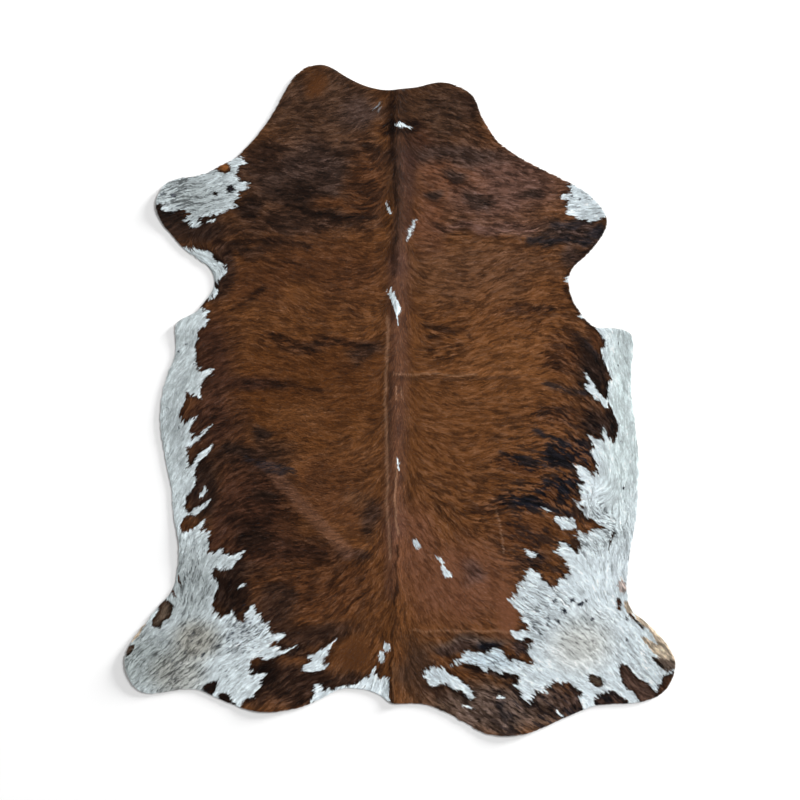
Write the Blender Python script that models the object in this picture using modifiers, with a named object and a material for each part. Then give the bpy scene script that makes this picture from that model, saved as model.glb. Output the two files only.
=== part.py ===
"""A cowhide rug: one whole hair-on hide, trimmed round by hand and laid flat on the floor.

Metres, +Z up. The origin is on the floor under the middle of the hide's bounding box,
+Y runs along the spine towards the neck, and +X is the animal's right as it is seen from above.
The tables are in millimetres.
"""

import math

import bpy
import numpy as np
from mathutils.geometry import delaunay_2d_cdt

MM = 0.001

HIDE_LENGTH = 2.21  # neck to rump
THICKNESS = 0.005  # tanned skin, about 2.2 mm, under its flat-lying coat
RIM_SHARE = 0.5  # how much of the thickness is left at the trimmed edge
RIM_BEVEL = 0.012  # how far in from the edge the coat is back at its full depth

OUTLINE_STEPS = 3  # straight pieces between two points of the outline
BODY_SPACING = 0.054  # between the points of the flat middle
FOLD_SPACING = 0.036  # between the points along a fold
EDGE_CLEARANCE = 0.026  # from the outline to the first points of the middle
FOLD_ROWS = (-1.0, -0.5, 0.0, 0.5, 1.0)  # where a fold's rows of points lie, as shares of its reach
FOLD_GAP = 0.006  # the least distance between the points of two folds
GRID_GAP = 0.024  # and from the flat middle's points to all of the others
RING_SHARE = 0.8  # of the bevel's width: nearer the outline than this, the inner ring has no point
SAME_POINT = 1e-6  # points this near to each other are one

# The trimmed edge, clockwise from the notch of the neck, one stretch for each part of the animal.
# Columns: x, y.
OUTLINE = {
    "neck, right lobe": [
        (-40, 1022), (10, 1027), (60, 1033), (100, 1043), (138, 1047), (175, 1038),
        (215, 1019), (241, 996), (260, 950), (286, 899), (320, 852), (388, 801),
    ],
    "right shoulder": [(450, 768), (530, 728), (590, 697), (640, 658), (670, 618)],
    "right foreleg": [(679, 590), (674, 563), (642, 512), (608, 475)],
    "right elbow": [(575, 446), (556, 412), (554, 380), (566, 331), (588, 293), (613, 260)],
    "right flank": [
        (645, 240), (700, 237), (748, 226), (764, 210), (765, 150), (761, 65), (764, 1),
        (777, -101), (786, -188), (784, -290),
    ],
    "right belly": [(778, -385), (762, -468), (751, -540), (746, -620), (753, -672)],
    "right hind leg": [
        (770, -703), (798, -723), (845, -768), (880, -810), (900, -846), (904, -878),
        (889, -930), (860, -967), (820, -987), (770, -997), (700, -1001),
    ],
    "right thigh": [
        (645, -1006), (590, -1025), (533, -1050), (452, -1086), (395, -1102), (336, -1105),
        (280, -1097), (219, -1067), (152, -1030), (100, -1007), (55, -1000),
    ],
    "tail": [(0, -1000), (-30, -996), (-62, -974), (-98, -958), (-140, -950), (-197, -951)],
    "left thigh": [
        (-240, -971), (-290, -997), (-363, -1019), (-435, -1027), (-497, -1021),
        (-560, -999), (-619, -974), (-662, -955),
    ],
    "left hind leg": [
        (-719, -952), (-785, -962), (-837, -965), (-868, -951), (-892, -917), (-906, -869),
        (-898, -825), (-870, -775), (-831, -727), (-788, -673),
    ],
    "left belly": [
        (-753, -628), (-737, -580), (-728, -510), (-731, -450), (-744, -390), (-754, -283),
    ],
    "left flank": [
        (-770, -206), (-786, -110), (-790, -45), (-781, 31), (-761, 95), (-740, 148),
        (-739, 205), (-740, 246), (-728, 262), (-695, 279), (-665, 298),
    ],
    "left elbow": [(-640, 331), (-619, 362), (-613, 392), (-627, 432), (-675, 473)],
    "left foreleg": [
        (-713, 501), (-751, 544), (-786, 588), (-803, 640), (-795, 677), (-773, 710),
        (-738, 729), (-695, 735),
    ],
    "left shoulder": [(-640, 747), (-590, 772), (-545, 795), (-497, 842), (-448, 900)],
    "neck, left lobe": [
        (-400, 975), (-370, 1031), (-343, 1069), (-308, 1094), (-265, 1105), (-233, 1098),
        (-180, 1067), (-125, 1040), (-80, 1027),
    ],
}

# The crest line of the backbone, from the neck to the tail. Columns: x, y.
BACKBONE = [
    (-18, 1030), (-16, 760), (-12, 560), (-20, 330), (-22, 60), (-26, -180), (-24, -420),
    (-18, -640), (-22, -830), (-18, -1004),
]
CREST_OFFSET = 8  # the sharp crease lies this far to the right of the backbone's middle

# What shipping and the animal's own shape leave in a hide that lies flat: ridges that are
# hollow underneath. Columns: reach to each side, height, points along the crest.
FOLDS = {
    "backbone": (38, 3.4, BACKBONE),
    "crease on the backbone": (11, 1.6, [(x + CREST_OFFSET, y) for x, y in BACKBONE]),
    "shipping fold across the back": (20, 2.4, [(-20, 86), (120, 82), (260, 79), (392, 75)]),
    "shipping fold across the rump": (20, 2.2, [(15, -762), (130, -757), (250, -760), (368, -765)]),
    "old fold on the left of the back": (24, 1.6, [(-560, 66), (-400, 78), (-240, 74), (-110, 84)]),
    "swell on the left loin": (95, 4.0, [(-400, -240), (-300, -350), (-190, -490)]),
}

# Broad swells, and the ends of the legs and lobes, which lift a little off the floor.
# Columns: x, y, reach, height.
SWELLS = {
    "right shoulder": (330, 560, 190, 3.0),
    "left shoulder": (-430, 520, 170, 3.4),
    "right loin": (430, -180, 210, 2.8),
    "left flank": (-690, -60, 130, 4.2),
    "right flank": (700, -60, 120, 4.0),
    "left thigh": (-470, -720, 170, 3.2),
    "right thigh": (560, -760, 180, 3.4),
    "end of the left foreleg": (-815, 655, 120, 6.5),
    "end of the right foreleg": (690, 600, 110, 6.0),
    "end of the left hind leg": (-925, -880, 150, 7.0),
    "end of the right hind leg": (925, -890, 150, 7.0),
    "left lobe of the neck": (-270, 1125, 130, 6.0),
    "right lobe of the neck": (150, 1065, 110, 4.5),
    "hem of the right thigh": (370, -1125, 130, 5.0),
    "hem of the left thigh": (-450, -1050, 120, 4.5),
    "left belly": (-745, -480, 110, 4.0),
    "corner of the left flank": (-760, 270, 100, 4.5),
    "corner of the right flank": (785, 230, 100, 4.5),
}


def clear_scene():
    for obj in list(bpy.data.objects):
        bpy.data.objects.remove(obj, do_unlink=True)


def new_collection(name):
    collection = bpy.data.collections.new(name)
    bpy.context.scene.collection.children.link(collection)
    return collection


def new_object(name, mesh, collection):
    obj = bpy.data.objects.new(name, mesh)
    collection.objects.link(obj)
    return obj


def coat_material():
    material = bpy.data.materials.new("brindle coat")
    material.use_nodes = True
    shader = material.node_tree.nodes["Principled BSDF"]
    shader.inputs["Base Color"].default_value = (0.135, 0.058, 0.024, 1.0)
    shader.inputs["Roughness"].default_value = 0.62
    shader.inputs["Metallic"].default_value = 0.0
    return material


def trimmed_edge():
    """The outline as a smooth closed curve, read back as an array of points."""
    table = [point for stretch in OUTLINE.values() for point in stretch]
    curve = bpy.data.curves.new("trimmed edge", "CURVE")
    curve.dimensions = "2D"
    curve.fill_mode = "NONE"
    curve.resolution_u = OUTLINE_STEPS
    spline = curve.splines.new("BEZIER")
    spline.bezier_points.add(len(table) - 1)
    for bezier_point, (x, y) in zip(spline.bezier_points, table):
        bezier_point.co = (x * MM, y * MM, 0.0)
        bezier_point.handle_left_type = "AUTO"
        bezier_point.handle_right_type = "AUTO"
    spline.use_cyclic_u = True
    guide = new_object("trimmed edge", curve, bpy.context.scene.collection)
    line = bpy.data.meshes.new_from_object(guide.evaluated_get(bpy.context.evaluated_depsgraph_get()))
    edge = np.array([vertex.co[:2] for vertex in line.vertices])
    bpy.data.meshes.remove(line)
    bpy.data.objects.remove(guide, do_unlink=True)
    return edge


def distance_to_line(points, line):
    """Each point's distance to a chain of straight pieces."""
    nearest = np.full(len(points), np.inf)
    for start, end in zip(line[:-1], line[1:]):
        along = end - start
        share = np.clip((points - start) @ along / (along @ along), 0.0, 1.0)
        away = np.linalg.norm(points - start - share[:, None] * along, axis=1)
        nearest = np.minimum(nearest, away)
    return nearest


def inside(points, edge):
    """Which points lie within the closed outline."""
    within = np.zeros(len(points), bool)
    x, y = points.T
    for (x0, y0), (x1, y1) in zip(edge, np.roll(edge, -1, axis=0)):
        if y0 == y1:
            continue
        crosses = (y0 > y) != (y1 > y)
        within ^= crosses & (x < x0 + (y - y0) * (x1 - x0) / (y1 - y0))
    return within


def bump(share):
    """1 on the crest and 0, with no slope, from the reach outwards."""
    return np.where(share < 1.0, (1.0 - np.minimum(share, 1.0) ** 2) ** 2, 0.0)


def relief(points):
    """How high the underside stands over the floor: exactly 0 where the hide lies flat."""
    height = np.zeros(len(points))
    for reach, rise, crest in FOLDS.values():
        away = distance_to_line(points, np.array(crest) * MM)
        height += rise * MM * bump(away / (reach * MM))
    for x, y, reach, rise in SWELLS.values():
        away = np.linalg.norm(points - np.array((x, y)) * MM, axis=1)
        height += rise * MM * bump(away / (reach * MM))
    return height


def along_fold(reach, crest):
    """Points in rows along a fold, on its crest and on both of its sides."""
    crest = np.array(crest) * MM
    lengths = np.linalg.norm(np.diff(crest, axis=0), axis=1)
    run = np.concatenate([[0.0], np.cumsum(lengths)])
    stations = np.linspace(0.0, run[-1], max(2, round(run[-1] / FOLD_SPACING)))
    middle = np.stack([np.interp(stations, run, crest[:, axis]) for axis in (0, 1)], axis=1)
    along = np.gradient(middle, axis=0)
    along /= np.linalg.norm(along, axis=1)[:, None]
    across = np.stack([along[:, 1], -along[:, 0]], axis=1)
    rows = [middle + across * reach * MM * share for share in FOLD_ROWS]
    return np.concatenate(rows)


def inner_ring(edge):
    """Every second point of the outline, moved in by the width of the rim."""
    along = np.roll(edge, -1, axis=0) - np.roll(edge, 1, axis=0)
    along /= np.linalg.norm(along, axis=1)[:, None]
    inward = np.stack([along[:, 1], -along[:, 0]], axis=1)
    return (edge + inward * RIM_BEVEL)[::2]


def even_grid(edge):
    """Points in staggered rows all over the hide's box."""
    (x0, y0), (x1, y1) = edge.min(axis=0), edge.max(axis=0)
    row_step = BODY_SPACING * math.sqrt(3.0) / 2.0
    points = []
    for row, y in enumerate(np.arange(y0, y1, row_step)):
        shift = BODY_SPACING / 2.0 * (row % 2)
        points += [(x, y) for x in np.arange(x0 + shift, x1, BODY_SPACING)]
    return np.array(points)


def apart(points, others, gap):
    """The points that are no nearer than the gap to any of the others."""
    away = np.linalg.norm(points[:, None] - others[None], axis=2).min(axis=1)
    return points[away >= gap]


def surface_points(edge):
    """The points that the hide's surface is drawn through, the outline's own first."""
    closed = np.vstack([edge, edge[:1]])
    kept = [edge]
    ring = inner_ring(edge)
    kept.append(ring[distance_to_line(ring, closed) > RING_SHARE * RIM_BEVEL])
    for reach, _, crest in FOLDS.values():
        rows = along_fold(reach, crest)
        rows = rows[inside(rows, edge)]
        rows = rows[distance_to_line(rows, closed) > EDGE_CLEARANCE]
        kept.append(apart(rows, np.concatenate(kept), FOLD_GAP))
    grid = even_grid(edge)
    grid = grid[inside(grid, edge)]
    grid = grid[distance_to_line(grid, closed) > EDGE_CLEARANCE]
    kept.append(apart(grid, np.concatenate(kept), GRID_GAP))
    return np.concatenate(kept)


def hide_surface(edge):
    """The underside as one triangulated sheet inside the outline, with its folds raised."""
    points = [tuple(point) for point in surface_points(edge)]
    rim = [(index, (index + 1) % len(edge)) for index in range(len(edge))]
    flat, _, faces = delaunay_2d_cdt(points, rim, [], 0, SAME_POINT, False)[:3]
    flat = np.array([tuple(point) for point in flat])
    middles = flat[np.array(faces)].mean(axis=1)
    faces = [face for face, kept in zip(faces, inside(middles, edge)) if kept]
    mesh = bpy.data.meshes.new("hide")
    mesh.from_pydata(np.column_stack([flat, relief(flat)]).tolist(), [], faces)
    return mesh


def make_hide(collection):
    """The whole hide: a sheet that is thickened upwards and thinner along its trimmed edge."""
    edge = trimmed_edge()
    edge -= (edge.min(axis=0) + edge.max(axis=0)) / 2.0
    edge *= HIDE_LENGTH / np.ptp(edge[:, 1])
    mesh = hide_surface(edge)
    mesh.materials.append(coat_material())
    hide = new_object("hide", mesh, collection)
    closed = np.vstack([edge, edge[:1]])
    flat = np.array([vertex.co[:2] for vertex in mesh.vertices])
    depth = hide.vertex_groups.new(name="depth of the coat")
    for index, away in enumerate(distance_to_line(flat, closed)):
        depth.add([index], RIM_SHARE + (1.0 - RIM_SHARE) * min(1.0, away / RIM_BEVEL), "REPLACE")
    thicken = hide.modifiers.new("thickness", "SOLIDIFY")
    thicken.thickness = THICKNESS
    thicken.offset = 1.0
    thicken.vertex_group = depth.name
    return hide


def main():
    clear_scene()
    make_hide(new_collection("cowhide_rug"))


main()
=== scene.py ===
"""Looks of the cowhide rug: its tanned skin, its short coat with the natural markings, the studio.

Metres, +Z up. The tables are in millimetres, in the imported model's frame: +Y towards the neck,
+X to the animal's right. Colours are sRGB numbers from 0 to 255.
"""

import math

import bpy
import numpy as np
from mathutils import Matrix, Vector, kdtree
from mathutils.bvhtree import BVHTree
from mathutils.geometry import delaunay_2d_cdt


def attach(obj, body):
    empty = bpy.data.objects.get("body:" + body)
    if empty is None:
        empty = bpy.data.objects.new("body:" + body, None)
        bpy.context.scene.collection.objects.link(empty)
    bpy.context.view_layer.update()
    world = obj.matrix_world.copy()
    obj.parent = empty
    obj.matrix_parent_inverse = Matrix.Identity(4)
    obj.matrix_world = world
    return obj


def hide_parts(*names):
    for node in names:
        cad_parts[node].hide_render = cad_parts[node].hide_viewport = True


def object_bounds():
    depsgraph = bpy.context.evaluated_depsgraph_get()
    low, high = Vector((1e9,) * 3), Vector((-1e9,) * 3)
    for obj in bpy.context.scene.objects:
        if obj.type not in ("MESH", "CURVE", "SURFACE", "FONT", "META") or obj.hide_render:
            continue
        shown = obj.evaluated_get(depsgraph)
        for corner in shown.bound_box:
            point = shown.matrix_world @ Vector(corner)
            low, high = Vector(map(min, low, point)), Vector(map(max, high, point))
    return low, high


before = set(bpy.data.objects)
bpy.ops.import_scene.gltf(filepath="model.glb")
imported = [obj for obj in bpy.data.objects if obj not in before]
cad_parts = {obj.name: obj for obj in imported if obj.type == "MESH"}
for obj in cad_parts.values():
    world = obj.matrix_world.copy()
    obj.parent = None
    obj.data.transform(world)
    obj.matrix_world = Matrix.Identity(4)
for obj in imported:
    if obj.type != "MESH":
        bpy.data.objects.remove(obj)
CAD_BOX = [list(corner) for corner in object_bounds()]

MM = 0.001
SEED = 7

# The camera and the floor.
PICTURE_WIDTH = 2.64  # of floor across the picture
LENS = 85.0
SENSOR = 36.0
FLOOR_SIZE = 60.0

# Grids and noise.
FIELD_MARGIN = 40 * MM  # how far the grids of values reach past the hide
ROW_SHARE = math.sqrt(3.0) / 2.0  # from one staggered row to the next, as a share of the spacing
NOISE_TABLE = 256  # random values along one side of a table of noise, which repeats
NOISE_START = 64.0  # where in that table the origin lies

# The skin.
SKIN = 2.2 * MM  # thickness of the tanned skin
SKIN_RIM = 1.5 * MM  # and at its cut edge
RIM_WIDTH = 7 * MM
SKIN_SPACING = 13.5 * MM  # between the points of the skin's mesh
EDGE_STEPS = 3  # straight pieces between two points of the solid's outline
EDGE_CURL = 1.6 * MM  # how far the cut edge curls up off the floor
CURL_REACH = 26 * MM
MAP_HALF = (0.48, 0.98)  # how much of the colour map the grain side and the flesh side each take
MAP_CORNERS = ((0.005, 0.01), (0.515, 0.01))  # and where they start; the cut edge lies between them

# The coat.
ROOT_SPACING = 3.46 * MM  # between the roots of two blades of hair
BANDS = 5  # pieces that the coat is made in, from the neck to the rump
LONG_HAIR = 18 * MM
BLADE_WIDTH = 2.3 * MM
OVERHANG = 3.5 * MM  # how far hair reaches past the cut edge
COAT_DEPTH = 1.8 * MM  # how high the coat's middle stands over the skin
ROOT_INSET = 0.4 * MM  # from the cut edge to the first roots
LIE_BLUR = 12 * MM  # nearer to a row of LIE_OF_THE_HAIR than this, its weight hardly grows
LIE_FALL = 1.75  # the power of the squared distance by which that weight falls
SWIRL = 20  # degrees that the hair strays at random, at most
CELLS = 256  # blades along one side of a band's colour map
BLADE_FACES = np.array([(0, 2, 3), (0, 3, 1), (2, 4, 3)])
BLADE_MAP = np.array([(0.15, 0.15), (0.85, 0.15), (0.15, 0.55), (0.85, 0.55), (0.5, 0.85)])
BLADE_SHADES = np.array([0.78, 0.78, 1.0, 1.0, 1.08])  # painted shade: darker at the root, beneath the other hair, above all in dark hair

# The markings.
STREAK_STEPS = 6  # places on each side that a streak's value is gathered from
SOFT_EDGE = 1.4  # where an area or a line has faded out, as a share of its reach
BACK_WIDTH = 0.6  # over which the left side's tones turn into the right side's
PLAIN_DARK = 0.25  # share of dark hair before the areas are laid on
PLAIN_GREY = 0.12  # share of grey streaks in the white before the tints are laid on
STRONG_RIM = 90  # spots darker than this have a strong rim of nearly black hair
SPOT_RIM = 11 * MM  # how far in that rim reaches
BLACK_HAIR = 32  # lines darker than this are broken up into locks
SHEEN = np.array([0.86, 0.8, 0.84])  # the tint of the hair's sheen, times the hair's mean tone

COLOURS = {
    "chestnut": (117, 74, 42), "dark chestnut": (98, 61, 36), "soft chestnut": (112, 75, 50),
    "bright chestnut": (127, 81, 46), "ochre": (94, 59, 34), "amber": (99, 60, 31),
    "russet": (119, 77, 54), "bright russet": (126, 82, 58), "rust": (112, 70, 46),
    "umber": (75, 52, 39), "dark umber": (60, 43, 34), "smoky umber": (78, 66, 56),
    "deep brown": (78, 50, 36), "dim brown": (86, 61, 45), "slate brown": (62, 52, 50),
    # The lighter brown for the swell's crest, in the next row, is a painted sheen.
    "grey brown": (108, 88, 76), "sheen brown": (122, 86, 68), "smoke": (104, 90, 80),
    "mauve": (94, 65, 55), "mauve brown": (112, 80, 67), "mauve umber": (84, 64, 55),
    "dark mauve": (76, 53, 46), "black brown": (28, 17, 11), "blue black": (25, 28, 37),
    "pale line": (156, 118, 92), "pinkish": (190, 176, 170), "tan": (202, 185, 162),
    "white": (215, 226, 231), "bluish": (204, 224, 238), "pale teal": (212, 225, 226),
    "cream": (226, 222, 212), "beige grey": (146, 141, 128), "grey": (138, 148, 156),
    "dark grey": (92, 98, 106), "left grey": (126, 133, 131),
}

# Which way the hair lies: it leaves the backbone tailwards and turns out over the sides.
# Columns: x, y, direction in degrees from +X.
LIE_OF_THE_HAIR = [
    (10, 908, 340), (-40, 960, 215), (-40, 800, 228), (-40, 600, 230), (-40, 400, 228), (-40, 200, 226),
    (-42, 20, 234), (-42, -120, 236), (-46, -300, 236), (-44, -500, 240), (-42, -700, 244),
    (-42, -900, 250), (-10, 900, 268), (-8, 700, 270), (-8, 500, 270), (-8, 300, 270),
    (-8, 100, 270), (-8, -100, 268), (-8, -300, 268), (-8, -500, 270), (-8, -700, 270),
    (-8, -950, 270), (34, 960, 330), (34, 800, 315), (34, 600, 312), (36, 400, 312),
    (36, 200, 314), (38, 0, 304), (36, -200, 300), (36, -400, 302), (36, -600, 300),
    (36, -800, 300), (36, -960, 290),
    (-70, 900, 195), (-70, 720, 190), (-70, 540, 182), (-70, 340, 178), (-72, 150, 176),
    (-85, -20, 190), (-88, -180, 206), (-90, -350, 216), (-90, -550, 222), (-90, -720, 232),
    (66, 900, 350), (66, 720, 345), (68, 540, 350), (70, 340, 352), (72, 150, 352),
    (86, -20, 334), (86, -180, 324), (86, -350, 316), (86, -550, 308), (86, -720, 306),
    (84, -880, 308),
    (-120, 980, 192), (-125, 820, 178), (-125, 650, 172), (-125, 480, 161), (-125, 300, 159),
    (-125, 120, 162), (-125, -60, 170), (-130, -250, 182), (-135, -450, 190), (-135, -650, 218),
    (-150, -800, 236), (-130, -900, 235),
    (-300, 1050, 205), (-280, 900, 184), (-300, 720, 170), (-300, 520, 158), (-300, 320, 155),
    (-300, 120, 161), (-300, -80, 167), (-300, -280, 174), (-300, -480, 174), (-300, -680, 196),
    (-290, -930, 204), (-440, 780, 171), (-450, 600, 166), (-450, 400, 156), (-450, 200, 165),
    (-450, 0, 176), (-450, -200, 182), (-450, -400, 178), (-460, -580, 196), (-450, -760, 212),
    (-440, -930, 216), (-560, 700, 186), (-680, 670, 194), (-780, 660, 200), (-720, 560, 208),
    (-600, 520, 206), (-650, 488, 326), (-600, 464, 322), (-640, 450, 318), (-612, 385, 300),
    (-560, 470, 190), (-565, 390, 188), (-570, 320, 190), (-600, 240, 200), (-600, 60, 206),
    (-610, -100, 214), (-625, -260, 220), (-610, -430, 222), (-590, -600, 236),
    (-700, 220, 240), (-700, 60, 240), (-725, -100, 242), (-730, -300, 244), (-700, -470, 250),
    (-690, -620, 258), (-610, -760, 220), (-700, -800, 228), (-850, -760, 228),
    (-830, -880, 224), (-640, -900, 222), (-540, -880, 218), (-780, -940, 215),
    (120, 980, 352), (120, 820, 350), (120, 650, 346), (120, 480, 12), (120, 300, 17),
    (120, 120, 12), (120, -60, 358), (125, -250, 340), (130, -450, 320), (130, -650, 308),
    (130, -820, 322), (120, -950, 322), (210, 960, 345), (280, 820, 344), (280, 640, 352),
    (280, 440, 21), (280, 250, 26), (280, 60, 19), (280, -140, 13), (280, -340, 0),
    (280, -540, 336), (280, -740, 332), (280, -880, 336), (280, -1040, 332),
    (430, 720, 344), (430, 520, 8), (430, 320, 21), (430, 120, 13), (430, -80, 4),
    (430, -280, 350), (430, -480, 344), (430, -680, 328), (430, -880, 334), (430, -1040, 334),
    (560, 640, 356), (640, 610, 2), (620, 530, 350), (540, 400, 8), (570, 220, 336),
    (600, 60, 328), (600, -110, 324), (580, -280, 330), (545, -440, 328), (560, -600, 318),
    (560, -780, 328), (590, -920, 322), (640, -740, 316), (705, 170, 282), (700, 20, 280),
    (735, -150, 276), (735, -330, 270), (715, -500, 268), (700, -620, 284), (700, -760, 312),
    (780, -800, 312), (850, -870, 312), (700, -900, 318), (800, -960, 320),
    (702, -358, 255), (673, -330, 190), (644, -352, 290), (668, -392, 350),
]

# The white of the legs, belly and thighs. The outer sides run past the cut edge.
WHITES = {
    "left foreleg": [
        (-548, 793), (-517, 805), (-513, 790), (-512, 778), (-526, 777), (-531, 759),
        (-539, 743), (-523, 722), (-504, 716), (-488, 706), (-504, 700), (-520, 690),
        (-536, 682), (-530, 663), (-542, 647), (-539, 636), (-561, 628), (-584, 616),
        (-603, 610), (-651, 608), (-661, 599), (-651, 580), (-667, 573), (-683, 580),
        (-686, 589), (-709, 595), (-696, 602), (-699, 618), (-712, 623), (-770, 623),
        (-781, 631), (-779, 644), (-850, 650), (-840, 740), (-700, 790), (-600, 830),
    ],
    "sliver by the left foreleg": [(-645, 584), (-626, 593), (-602, 598), (-606, 590), (-626, 583)],
    "left elbow": [
        (-720, 500), (-699, 501), (-658, 502), (-642, 496), (-613, 483), (-622, 477),
        (-613, 461), (-584, 448), (-564, 432), (-573, 421), (-587, 404), (-608, 381),
        (-613, 368), (-599, 361), (-601, 345), (-622, 341), (-660, 310), (-720, 380),
    ],
    "left side": [
        (-680, 320), (-661, 303), (-648, 299), (-636, 294), (-632, 277), (-628, 262),
        (-636, 248), (-651, 248), (-662, 236), (-668, 222), (-662, 205), (-677, 187),
        (-677, 169), (-665, 162), (-671, 144), (-677, 124), (-674, 112), (-662, 108),
        (-656, 99), (-609, 102), (-618, 90), (-634, 79), (-642, 69), (-651, 52), (-660, 35),
        (-641, 13), (-648, 10), (-660, 20), (-677, 21), (-690, 31), (-706, 24), (-709, 2),
        (-720, -27), (-727, -46), (-719, -65), (-699, -69), (-666, -53), (-680, -75),
        (-693, -97), (-683, -107), (-680, -126), (-667, -125), (-651, -108), (-635, -88),
        (-603, -72), (-636, -98), (-660, -132), (-677, -142), (-701, -149), (-699, -181),
        (-704, -203), (-693, -219), (-682, -213), (-670, -184), (-650, -168), (-602, -136),
        (-630, -170), (-658, -203), (-672, -222), (-680, -248), (-664, -255), (-668, -272),
        (-682, -288), (-699, -312), (-711, -331), (-704, -354), (-691, -366), (-660, -352),
        (-624, -328), (-640, -352), (-668, -370), (-696, -376), (-715, -395), (-727, -421),
        (-712, -437), (-690, -431), (-672, -416), (-650, -398), (-627, -381), (-638, -400),
        (-656, -418), (-645, -428), (-623, -438), (-631, -465), (-635, -496), (-615, -504),
        (-600, -498), (-586, -486), (-581, -504), (-565, -513), (-542, -506), (-510, -500),
        (-527, -519), (-542, -542), (-565, -561), (-581, -554), (-608, -548), (-616, -561),
        (-615, -588), (-602, -596), (-604, -619), (-611, -650), (-625, -685), (-611, -694),
        (-598, -700), (-594, -713), (-565, -711), (-558, -692), (-550, -713), (-527, -717),
        (-523, -731), (-504, -727), (-500, -685), (-485, -679), (-469, -688), (-463, -711),
        (-446, -731), (-427, -725), (-429, -748), (-411, -765), (-378, -777), (-390, -790),
        (-412, -795), (-417, -806), (-399, -820), (-367, -821), (-336, -804), (-352, -820),
        (-381, -837), (-408, -846), (-439, -858), (-453, -842), (-479, -844), (-493, -867),
        (-495, -882), (-491, -898), (-470, -903), (-439, -903), (-453, -920), (-457, -943),
        (-473, -961), (-479, -979), (-497, -983), (-515, -988), (-524, -1003), (-540, -1060),
        (-700, -1010), (-960, -1010), (-960, -700), (-820, -560), (-800, -300), (-850, -100),
        (-850, 100), (-800, 330),
    ],
    "left loin": [
        (-213, -790), (-226, -815), (-242, -830), (-241, -846), (-255, -860), (-239, -873),
        (-244, -888), (-278, -896), (-309, -894), (-311, -880), (-295, -864), (-298, -846),
        (-278, -835), (-255, -824), (-236, -808),
    ],
    "left of the tail": [
        (-103, -920), (-96, -903), (-87, -880), (-80, -905), (-71, -918), (-49, -911),
        (-37, -920), (-35, -943), (-37, -970), (-31, -1030), (-110, -1000), (-200, -1000),
        (-270, -1060), (-286, -994), (-278, -961), (-289, -943), (-278, -934), (-264, -943),
        (-255, -954), (-224, -950), (-201, -946), (-183, -948), (-165, -942), (-143, -938),
        (-129, -922),
    ],
    "right of the tail": [
        (76, -905), (89, -885), (116, -873), (143, -885), (174, -909), (201, -929),
        (228, -947), (239, -970), (225, -984), (212, -970), (201, -958), (174, -954),
        (152, -934), (120, -932), (98, -938), (85, -925),
    ],
    "right thigh and leg": [
        (160, -872), (179, -858), (199, -846), (201, -834), (228, -828), (255, -835),
        (282, -833), (291, -826), (318, -817), (331, -824), (345, -846), (354, -855),
        (399, -860), (417, -869), (439, -864), (437, -853), (417, -835), (426, -822),
        (421, -808), (433, -793), (421, -784), (408, -793), (381, -790), (367, -772),
        (372, -760), (385, -760), (420, -762), (426, -755), (415, -737), (388, -724),
        (400, -715), (400, -705), (378, -683), (370, -670), (345, -650), (355, -654),
        (372, -655), (378, -645), (378, -625), (388, -612), (408, -597), (408, -583),
        (420, -562), (432, -556), (446, -564), (452, -580), (470, -595), (492, -617),
        (510, -612), (527, -597), (555, -573), (551, -548), (546, -535), (530, -515),
        (503, -499), (518, -492), (530, -468), (545, -473), (575, -500), (587, -495),
        (596, -479), (590, -463), (577, -447), (585, -436), (622, -431), (640, -419),
        (673, -422), (640, -398), (615, -383), (597, -366), (612, -353), (578, -341),
        (570, -330), (586, -332), (599, -322), (596, -294), (586, -278), (599, -274),
        (594, -256), (575, -211), (609, -220), (622, -236), (628, -249), (641, -242),
        (651, -233), (649, -210), (638, -188), (628, -169), (638, -150), (620, -115),
        (641, -127), (660, -135), (669, -129), (671, -84), (684, -124), (692, -136),
        (708, -128), (718, -108), (718, -76), (705, -50), (700, -28), (687, -11),
        (681, -34), (671, -21), (661, 1), (649, 14), (636, 8), (621, 27), (608, 46),
        (617, 54), (602, 100), (617, 81), (630, 61), (642, 46), (658, 17), (671, 6),
        (687, 24), (689, 49), (695, 75), (689, 101), (678, 113), (668, 142), (660, 163),
        (671, 168), (679, 189), (668, 206), (655, 229), (620, 275), (840, 300), (850, -300),
        (820, -600), (960, -800), (960, -1010), (840, -1010), (753, -1000), (743, -983),
        (725, -972), (697, -957), (676, -958), (647, -979), (630, -1060), (602, -1010),
        (592, -983), (591, -955), (570, -944), (552, -928), (520, -927), (493, -932),
        (486, -941), (477, -953), (479, -972), (446, -953), (435, -974), (421, -999),
        (399, -983), (397, -958), (366, -937), (392, -929), (394, -914), (381, -903),
        (354, -900), (322, -896), (300, -885), (264, -889), (251, -873), (224, -862),
        (201, -860), (183, -869),
    ],
    "island on the right belly": [
        (510, -386), (535, -384), (574, -390), (586, -409), (564, -425), (535, -425), (516, -412),
    ],
    "right foreleg": [
        (556, 730), (557, 701), (555, 682), (526, 674), (542, 663), (552, 650), (549, 634),
        (560, 626), (552, 615), (574, 608), (584, 595), (606, 594), (629, 587), (648, 592),
        (667, 603), (720, 612), (700, 680), (600, 750),
    ],
}

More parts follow.
